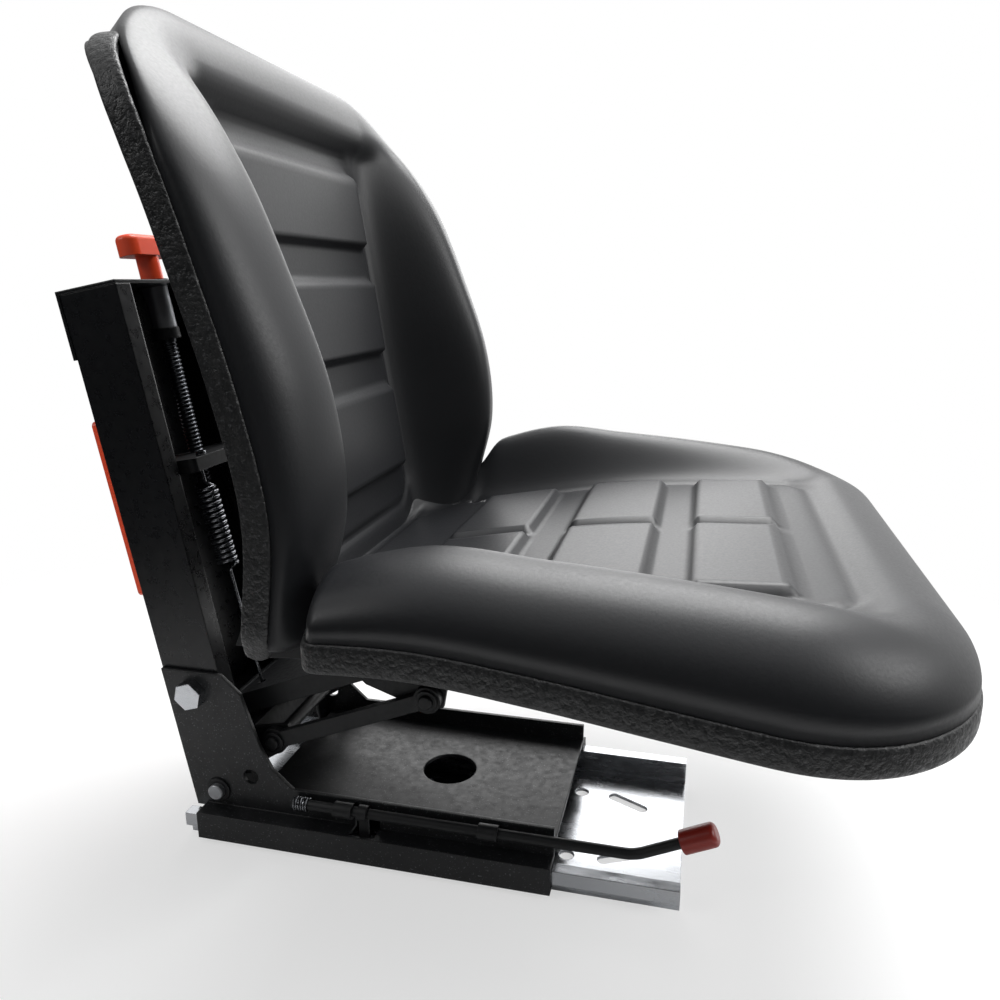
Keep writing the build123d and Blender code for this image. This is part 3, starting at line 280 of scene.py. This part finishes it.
def outlineGrid(spec, inset):
    # rows along the length, by equal angles round the corner; columns crowd towards both edges
    radius = spec["corner"] - inset
    bend = spec["end"] - spec["corner"]
    angle = np.linspace(0, math.pi / 2, foam["cornerRows"])
    straight = np.linspace(spec["start"], bend, foam["straightRows"], endpoint=False)
    along = np.concatenate([straight, bend + radius * np.sin(angle)])
    reach = np.clip((along - bend) / radius, 0, 1)
    corner = spec["half"] - spec["corner"] + radius * np.sqrt(1 - reach ** 2)
    waist = spec["waist"] - inset + (spec["half"] - spec["waist"]) * smoothStep(
        (along - spec["flare"][0]) / (spec["flare"][1] - spec["flare"][0]))
    low, high = spec["hidden"]
    tuck = foam["hiddenHalf"] + (waist - foam["hiddenHalf"]) * smoothStep((along - low) / (high - low))
    half = np.minimum(np.minimum(corner, waist), tuck)
    u = np.linspace(-1, 1, foam["columns"])
    crowded = 1 - (1 - np.abs(u)) ** foam["crowdPower"]
    across = np.sign(u) * ((1 - foam["crowding"]) * np.abs(u) + foam["crowding"] * crowded)
    a, s = np.meshgrid(along, across, indexing="ij")
    return a, s * half[:, None], half[:, None]


def edgeDistance(spec, a, y, half):
    # distance in from the rounded outline, and the place along the length of the nearest edge point
    radius = spec["corner"]
    qa = a - (spec["end"] - radius)
    qy = np.abs(y) - (spec["half"] - radius)
    length = np.hypot(qa, qy)
    inCorner = (qa > 0) & (qy > 0)
    side = half - np.abs(y)
    front = spec["end"] - a
    distance = np.where(inCorner, radius - length, np.minimum(side, front))
    lean = np.where(inCorner, qa / np.maximum(length, 1e-6), np.where(front < side, 1.0, 0.0))
    distance = np.maximum(distance, 0)
    return distance, a + distance * lean


def softBox(value, low, high, edge):
    # 1 inside an interval, falling to 0 over a rounded edge
    return smoothStep((value - low) / edge + 0.5) * smoothStep((high - value) / edge + 0.5)


def cushionTop(spec):
    # panel between two crests, pads raised on it, a rolled end, and a quarter-round fall to the edge
    a, y, half = outlineGrid(spec, 0.0)
    side = np.abs(y)
    panel = rowValue(spec["rows"], 1, a)
    crest = rowValue(spec["rows"], 2, a)
    rise = smoothStep((side - spec["panelHalf"]) / (spec["crestHalf"] - spec["panelHalf"]))
    height = panel + (crest - panel) * rise
    pads = np.max([
        softBox(a, low, high, foam["padEdge"])
        * softBox(side, spec["padSplit"] / 2, spec["padHalf"], foam["padEdge"])
        for low, high in spec["pads"]], axis=0)
    height += foam["padRise"] * pads
    # signed distance from the panel's outline, a rectangle with rounded corners
    corner = foam["seamRound"]
    middle = (spec["panelStart"] + spec["panelEnd"]) / 2
    reach = (spec["panelEnd"] - spec["panelStart"]) / 2
    qa = np.abs(a - middle) - reach + corner
    qy = side - spec["panelHalf"] + corner
    line = np.hypot(np.maximum(qa, 0), np.maximum(qy, 0)) + np.minimum(np.maximum(qa, qy), 0) - corner
    beyond = smoothStep((a - spec["panelEnd"]) / foam["liftRun"]) * (1 - rise)
    height += spec["lift"] * beyond - foam["seamDepth"] * np.exp(-(line / foam["seamWidth"]) ** 2)
    distance, nearest = edgeDistance(spec, a, y, half)
    edge = rowValue(spec["rows"], 3, np.clip(nearest, spec["start"], spec["end"])) + foam["rimGap"]
    q = np.clip(distance / spec["roll"], 0, 1)
    return a, y, edge + (height - edge) * np.sqrt(1 - (1 - q) ** 2)


def cushionRear(spec):
    # the foam's underside: flat in the middle, rising straight to the rim that sits in the shell
    a, y, half = outlineGrid(spec, foam["step"])
    if spec["rear"]:
        floor = spec["rear"](a)
    else:
        floor = rowValue(spec["rows"], 1, a) - foam["thick"]
    rim = rowValue(spec["rows"], 3, np.minimum(a + foam["step"], spec["end"])) - foam["stepDrop"]
    t = np.clip((np.abs(y) - foam["flat"]) / np.maximum(half - foam["flat"], 1), 0, 1)
    return a, y, floor + (np.maximum(rim, floor) - floor) * t


def ringOf(grid):
    # the border of a grid of points, once round
    return np.concatenate([grid[:, 0], grid[-1, 1:-1], grid[::-1, -1], grid[0, -2:0:-1]])


def cushionShell(spec, upright):
    # top, rear and the step between them as one closed shell
    order = (2, 1, 0) if upright else (0, 1, 2)
    top = np.stack(cushionTop(spec), -1)[..., order]
    rear = np.stack(cushionRear(spec), -1)[..., order]
    topRing = ringOf(top)
    rearRing = ringOf(rear)
    rise = 0 if upright else 2
    place = 2 if upright else 0
    fade = 1.0
    if upright:
        # no step along the back's top, where the foam stands above the shell
        below = spec["end"] - foam["fadeFrom"] - topRing[:, place:place + 1]
        fade = smoothStep(below / foam["fadeRun"])
    stepRing = topRing + (rearRing - topRing) * fade
    stepRing[:, rise] = topRing[:, rise] - foam["lip"]
    rows, cols = top.shape[:2]
    n = len(topRing)
    points = np.concatenate([top.reshape(-1, 3), rear.reshape(-1, 3), topRing, stepRing, rearRing])
    quads = gridFaces(rows, cols)
    band = gridFaces(3, n, wrap=True) + 2 * rows * cols
    faces = np.concatenate([quads[:, ::-1], quads + rows * cols, band[:, ::-1]])
    return points, faces[:, ::-1] if upright else faces


seatPoints, seatFaces = cushionShell(seat, False)
backPoints, backFaces = cushionShell(back, True)
cushion = meshOf(
    "cushion", np.concatenate([seatPoints, backPoints]),
    np.concatenate([seatFaces, backFaces + len(seatPoints)]), vinyl)
weld = cushion.modifiers.new("weld", "WELD")
weld.merge_threshold = 0.02 * mm
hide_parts("seat_cushion")
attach(cushion, "seat")
print("cushion made", len(cushion.data.polygons))


def tubeAlong(path, across, upward, section, ends):
    # a closed section carried along a path: its two axes are given at each point, ends scales it there
    rows = path[:, None, :]
    ring = rows + ends[:, None, None] * (
        across[:, None, :] * section[None, :, 0:1] + upward[:, None, :] * section[None, :, 1:2])
    n, k = ring.shape[:2]
    faces = gridFaces(n, k, wrap=True).tolist()
    faces.append(list(range(k))[::-1])
    faces.append(list(range((n - 1) * k, n * k)))
    return ring.reshape(-1, 3), faces


def evenPath(corners, step, soften):
    # points at an even step along straight runs, then averaged so that the corners are rounded
    corners = np.asarray(corners, float)
    runs = np.linalg.norm(np.diff(corners, axis=0), axis=1)
    reach = np.concatenate([[0], np.cumsum(runs)])
    along = np.linspace(0, reach[-1], int(reach[-1] / step) + 1)
    path = np.stack([np.interp(along, reach, corners[:, k]) for k in range(corners.shape[1])], -1)
    width = max(1, int(soften / step))
    padded = np.concatenate([
        2 * path[0] - path[width:0:-1], path, 2 * path[-1] - path[-2:-width - 2:-1]])
    kernel = np.hanning(2 * width + 3)[1:-1]
    kernel /= kernel.sum()
    return np.stack([np.convolve(padded[:, k], kernel, "valid") for k in range(path.shape[1])], -1)


edging = {
    "height": 15.5, "thick": 4.2, "inset": 1.5, "step": 2.0, "soften": 9.0, "sides": 28, "endLength": 7.0,
    "widePower": 0.7, "tallPower": 0.55, "tipScale": 0.35,
    "seat": {
        "start": -30.0, "flare": (-18.0, 0.0), "waist": 176.0, "end": 320.0, "half": 230.0, "corner": 100.0,
    },
    "back": {
        "start": 212.0, "flare": (216.0, 226.0), "waist": 196.0, "end": 527.0, "half": 202.0, "corner": 46.0,
    },
}


def trimOutline(run):
    # the outline on one side, then its mirror image, as (place along, place across)
    inset = edging["inset"]
    corner = run["corner"]
    angle = np.linspace(0, math.pi / 2, 40)
    arc = np.stack([
        run["end"] - corner + (corner - inset) * np.sin(angle),
        run["half"] - corner + (corner - inset) * np.cos(angle)], -1)
    flareStart, flareEnd = run["flare"]
    waist = run["waist"] - inset
    foot = [(run["start"], waist), (flareStart, waist), (flareEnd, run["half"] - inset)]
    near = np.concatenate([foot, arc])
    return evenPath(np.concatenate([near * (1, -1), near[::-1]]), edging["step"], edging["soften"])


def trimRing(spec, outline, upright):
    # the band's height lies square to the outline's plane, and its ends taper to a rounded tip
    order = (2, 1, 0) if upright else (0, 1, 2)
    edge = rowValue(spec["rows"], 3, np.clip(outline[:, 0], spec["rows"][0, 0], spec["rows"][-1, 0]))
    path = np.stack([outline[:, 0], outline[:, 1], edge - edging["height"] / 2], -1)
    tangent = unit(np.gradient(outline, axis=0))
    across = np.stack([-tangent[:, 1], tangent[:, 0], np.zeros(len(path))], -1)
    upward = np.tile([0.0, 0.0, 1.0], (len(path), 1))
    angle = np.linspace(0, 2 * math.pi, edging["sides"], endpoint=False)
    wide = np.sign(np.cos(angle)) * np.abs(np.cos(angle)) ** edging["widePower"] * edging["thick"] / 2
    tall = np.sign(np.sin(angle)) * np.abs(np.sin(angle)) ** edging["tallPower"] * edging["height"] / 2
    count = np.arange(len(path)) * edging["step"]
    tip = np.clip(np.minimum(count, count[::-1]) / edging["endLength"], 0.0, 1.0)
    ends = edging["tipScale"] + (1 - edging["tipScale"]) * np.sqrt(1 - (1 - tip) ** 2)
    points, faces = tubeAlong(path, across, upward, np.stack([wide, tall], -1), ends)
    if upright:
        faces = [face[::-1] for face in faces]
    return points[:, order], faces


trimPoints, trimFaces = trimRing(seat, trimOutline(edging["seat"]), False)
morePoints, moreFaces = trimRing(back, trimOutline(edging["back"]), True)
shift = len(trimPoints)
trim = meshOf(
    "edgeTrim", np.concatenate([trimPoints, morePoints]),
    trimFaces + [[i + shift for i in face] for face in moreFaces], rubber)
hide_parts("edge_trim")
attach(trim, "seat")
print("edge trim made", len(trim.data.polygons))

# The tower's own axes, as in the solids
lean = math.radians(10.26)
towerFoot = np.array([-178.8, 0.0, 20.0])
outAxis = np.array([math.cos(lean), 0.0, math.sin(lean)])
upAxis = np.array([-math.sin(lean), 0.0, math.cos(lean)])
sideAxis = np.array([0.0, 1.0, 0.0])

screw = {
    "out": 25.0, "low": 236.0, "high": 407.0, "threadEnd": 346.0, "radius": 5.98, "depth": 1.1, "pitch": 3.0,
    "step": 0.375, "sides": 40, "runout": 4.0, "chamfer": 1.0, "chamferLength": 1.5,
}


def threadedRod(spec):
    # radius falls and rises once a pitch along the rod, and the place of that wave turns with the angle
    up = np.arange(spec["low"], spec["high"] + 0.01, spec["step"])
    angle = np.linspace(0, 2 * math.pi, spec["sides"], endpoint=False)
    u, t = np.meshgrid(up, angle, indexing="ij")
    wave = 0.5 - 0.5 * np.cos(2 * math.pi * (u / spec["pitch"]) - t)
    cut = spec["depth"] * smoothStep((spec["threadEnd"] - u) / spec["runout"]) * wave
    tip = spec["chamfer"] * (1 - np.clip((u - spec["low"]) / spec["chamferLength"], 0, 1))
    radius = spec["radius"] - cut - tip
    centre = towerFoot + outAxis * spec["out"]
    points = centre + upAxis * u[..., None] + radius[..., None] * (
        outAxis * np.cos(t)[..., None] + sideAxis * np.sin(t)[..., None])
    rows, cols = u.shape
    faces = gridFaces(rows, cols, wrap=True).tolist()
    faces.append(list(range(cols))[::-1])
    faces.append(list(range((rows - 1) * cols, rows * cols)))
    return points.reshape(-1, 3), faces


rodPoints, rodFaces = threadedRod(screw)
rod = meshOf("threadedScrew", rodPoints, rodFaces, oiledSteel)
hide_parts("adjuster_screw")
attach(rod, "adjuster")
print("screw made")

springs = {
    "side": 30.0, "coilRadius": 6.6, "wire": 1.2, "turns": 15, "coilLength": 60.0, "coilDrop": 14.0,
    "topOut": 46.5, "topUp": 250.0, "hookAlong": 27.7, "hookAbove": 8.0, "leg": 7.0, "under": 5.0, "over": 12.0,
    "pivotOut": 27.0, "pivotUp": 66.0, "linkRise": 21.9, "give": 30.0,
    "perTurn": 28, "sides": 10, "lead": 4.0, "legStep": 0.8, "legSoften": 1.6,
}


def springPath(spec, side):
    # a hook, a leg on the axis, the coil, and again a leg and a hook, from the low end to the high one
    rise = math.radians(spec["linkRise"])
    pivot = towerFoot + outAxis * spec["pivotOut"] + upAxis * spec["pivotUp"]
    alongLink = np.array([math.cos(rise), 0, math.sin(rise)])
    aboveLink = np.array([-math.sin(rise), 0, math.cos(rise)])
    low = pivot + alongLink * spec["hookAlong"] + aboveLink * spec["hookAbove"] + sideAxis * side
    high = towerFoot + outAxis * spec["topOut"] + upAxis * spec["topUp"] + sideAxis * side
    span = np.linalg.norm(high - low)
    axis = (high - low) / span
    outward = np.cross(sideAxis, axis)
    coilTop = span - spec["coilDrop"]
    coilLow = coilTop - spec["coilLength"]
    turn = np.linspace(0, 2 * math.pi * spec["turns"], spec["perTurn"] * spec["turns"] + 1)
    coil = (low + axis * (coilLow + spec["coilLength"] * turn[:, None] / turn[-1])
            + spec["coilRadius"] * (outward * np.cos(turn)[:, None] + sideAxis * np.sin(turn)[:, None]))
    foot = low - axis * spec["under"]
    head = high + axis * spec["over"]
    hook = outAxis * spec["leg"]
    lowLead = low + axis * (coilLow - spec["lead"])
    highLead = low + axis * (coilTop + spec["lead"])
    lowLeg = evenPath([foot + hook, foot, lowLead, coil[0]], spec["legStep"], spec["legSoften"])
    highLeg = evenPath([coil[-1], highLead, head, head + hook], spec["legStep"], spec["legSoften"])
    path = np.concatenate([lowLeg[:-1], coil, highLeg[1:]])
    middle = len(lowLeg) - 1 + len(coil) // 2
    return path, middle, axis, low, low + axis * coilTop


def wireAlong(path, axis):
    # a round wire; its cross axes come from one fixed direction that no stretch of the path follows
    fixed = unit(axis + sideAxis)
    tangent = unit(np.gradient(path, axis=0))
    across = unit(fixed - tangent * (tangent @ fixed)[:, None])
    upward = np.cross(tangent, across)
    angle = np.linspace(0, 2 * math.pi, springs["sides"], endpoint=False)
    section = springs["wire"] * np.stack([np.cos(angle), np.sin(angle)], -1)
    return tubeAlong(path, across, upward, section, np.ones(len(path)))


for sideName, side in (("Left", springs["side"]), ("Right", -springs["side"])):
    path, middle, axis, hookHole, coilHead = springPath(springs, side)
    # the spring is made as two meshes, its upper and its lower half
    for half, stretch, body, start, end in (
        ("Upper", path[middle:], "yoke", path[middle], coilHead),
        ("Lower", path[:middle + 1], "upper_link", hookHole + axis * springs["give"], hookHole),
    ):
        points, faces = wireAlong(stretch, axis)
        coilHalf = meshOf("spring" + sideName + half, points, faces, wire)
        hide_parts("main_spring_" + sideName.lower())
        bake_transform(coilHalf)
print("springs made")

# The remaining solids keep their own shape and take a finish
finishes = {
    enamel: ("rear_tower", "tower_cap"),
    dustyEnamel: ("slide_base",),
    dullEnamel: (
        "lower_link_left", "lower_link_right", "upper_link", "link_bracket", "bracket_bolts", "spring_yoke",
        "lower_pivot_pin", "upper_pivot_pin", "lower_front_pin", "upper_front_pin", "rear_pin_clips",
        "front_pin_clips", "foot_clips", "seat_carrier", "seat_shell", "screw_collar", "lever_rod",
        "lever_brackets", "latch_plate"),
    zinc: ("lower_rail", "tower_bolts", "tower_nuts", "seat_nuts"),
    dullZinc: ("adjuster_bush", "foot_pin"),
    wire: ("lever_spring",),
    redAbs: ("weight_scale", "adjuster_knob"),
    dippedPvc: ("lever_cap",),
    nylon: ("slide_glides", "pivot_spacers", "thrust_washer"),
}
for finish, names in finishes.items():
    for name in names:
        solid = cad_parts[name]
        solid.data.materials.clear()
        solid.data.materials.append(finish)
print("solids painted")

# A round pale floor that fades out, so that the white of the studio has no horizon
floorSpec = {
    "radius": 1300.0, "sides": 96, "fadeStart": 0.3, "fadeEnd": 0.85, "colour": "#fbfbfb", "glow": 0.55,
}
floorPaint = bpy.data.materials.new("matt white floor")
floorPaint.use_nodes = True
tree = floorPaint.node_tree
tree.nodes.clear()
spot = node(tree, "ShaderNodeTexCoord").outputs["Object"]
away = node(tree, "ShaderNodeVectorMath", {"operation": "LENGTH"}, {0: spot}).outputs["Value"]
clear = node(tree, "ShaderNodeMapRange", {"interpolation_type": "SMOOTHSTEP"}, {
    "Value": away, "From Min": floorSpec["fadeStart"], "From Max": floorSpec["fadeEnd"]}).outputs["Result"]
matt = node(tree, "ShaderNodeBsdfDiffuse", None, {"Color": linear(floorSpec["colour"])}).outputs[0]
glow = node(tree, "ShaderNodeEmission", None, {"Color": (1, 1, 1, 1), "Strength": 1.0}).outputs[0]
eye = node(tree, "ShaderNodeMath", {"operation": "MULTIPLY"}, {
    0: node(tree, "ShaderNodeLightPath").outputs["Is Camera Ray"], 1: floorSpec["glow"]}).outputs[0]
pale = node(tree, "ShaderNodeMixShader", None, {0: eye, 1: matt, 2: glow}).outputs[0]
gone = node(tree, "ShaderNodeBsdfTransparent").outputs[0]
faded = node(tree, "ShaderNodeMixShader", None, {0: clear, 1: pale, 2: gone}).outputs[0]
node(tree, "ShaderNodeOutputMaterial", None, {"Surface": faded})
ringAngle = np.linspace(0, 2 * math.pi, floorSpec["sides"], endpoint=False)
ringPoints = floorSpec["radius"] * np.stack([np.cos(ringAngle), np.sin(ringAngle), 0 * ringAngle], -1)
floor = meshOf("floor", ringPoints, [list(range(floorSpec["sides"]))], floorPaint)

# White studio: plain white to the eye, soft fill on the object, brightest above and behind in reflections
studio = {"fill": 0.35, "bright": (0.25, 0.6, 0.76), "domeLow": 0.02, "domeHigh": 1.25}
world = bpy.data.worlds.new("studio")
scene.world = world
world.use_nodes = True
tree = world.node_tree
tree.nodes.clear()
rays = node(tree, "ShaderNodeLightPath").outputs
seen = node(tree, "ShaderNodeMath", {"operation": "MAXIMUM"}, {
    0: rays["Is Camera Ray"], 1: rays["Is Transmission Ray"]}).outputs[0]
sky = node(tree, "ShaderNodeVectorMath", {"operation": "DOT_PRODUCT"}, {
    0: node(tree, "ShaderNodeTexCoord").outputs["Generated"], 1: studio["bright"]}).outputs["Value"]
dome = node(tree, "ShaderNodeMapRange", {"interpolation_type": "SMOOTHSTEP"}, {
    "Value": sky, "From Min": -0.2, "From Max": 0.95,
    "To Min": studio["domeLow"], "To Max": studio["domeHigh"]}).outputs["Result"]
fill = node(tree, "ShaderNodeBackground", None, {"Color": (1, 1, 1, 1), "Strength": studio["fill"]})
shine = node(tree, "ShaderNodeBackground", None, {"Color": (1, 1, 1, 1), "Strength": dome})
white = node(tree, "ShaderNodeBackground", None, {"Color": (1, 1, 1, 1), "Strength": 1.0})
lit = node(tree, "ShaderNodeMixShader", None, {
    0: rays["Is Glossy Ray"], 1: fill.outputs[0], 2: shine.outputs[0]})
mixed = node(tree, "ShaderNodeMixShader", None, {0: seen, 1: lit.outputs[0], 2: white.outputs[0]})
node(tree, "ShaderNodeOutputWorld", None, {"Surface": mixed.outputs[0]})

# Large soft lamps: place, size in metres and power in watts
lamps = {
    "overheadLamp": ((0.3, 0.8, 2.0), 1.6, 60.0),
    "frontLamp": ((1.9, -0.2, 1.4), 1.1, 15.0),
    "sideLamp": ((-1.5, -1.1, 1.4), 0.7, 6.0),
    "rearLamp": ((-0.25, 1.7, 0.85), 1.3, 9.0),
}
aim = Vector((0.03, 0.0, 0.28))
for name, (place, size, power) in lamps.items():
    lampData = bpy.data.lights.new(name, "AREA")
    lampData.shape = "DISK"
    lampData.size = size
    lampData.energy = power
    lamp = bpy.data.objects.new(name, lampData)
    lamp.location = place
    lamp.rotation_euler = (aim - Vector(place)).to_track_quat("-Z", "Y").to_euler()
    scene.collection.objects.link(lamp)
print("stage made")

# Camera at the photograph's place: turn and pitch in degrees, lens in millimetres
view = {"place": (0.1775, -0.5643, 0.4065), "turn": 13.56, "pitch": 14.5, "lens": 30.15}
camData = bpy.data.cameras.new("photoCamera")
camData.sensor_width = 36.0
camData.lens = view["lens"]
camData.clip_start = 0.01
camera = bpy.data.objects.new("photoCamera", camData)
turn = math.radians(view["turn"])
pitch = math.radians(view["pitch"])
forward = Vector((-math.sin(turn) * math.cos(pitch), math.cos(turn) * math.cos(pitch), -math.sin(pitch)))
camera.location = view["place"]
camera.rotation_euler = forward.to_track_quat("-Z", "Y").to_euler()
scene.collection.objects.link(camera)
scene.camera = camera
scene.view_settings.view_transform = "Standard"

print("scene ready")
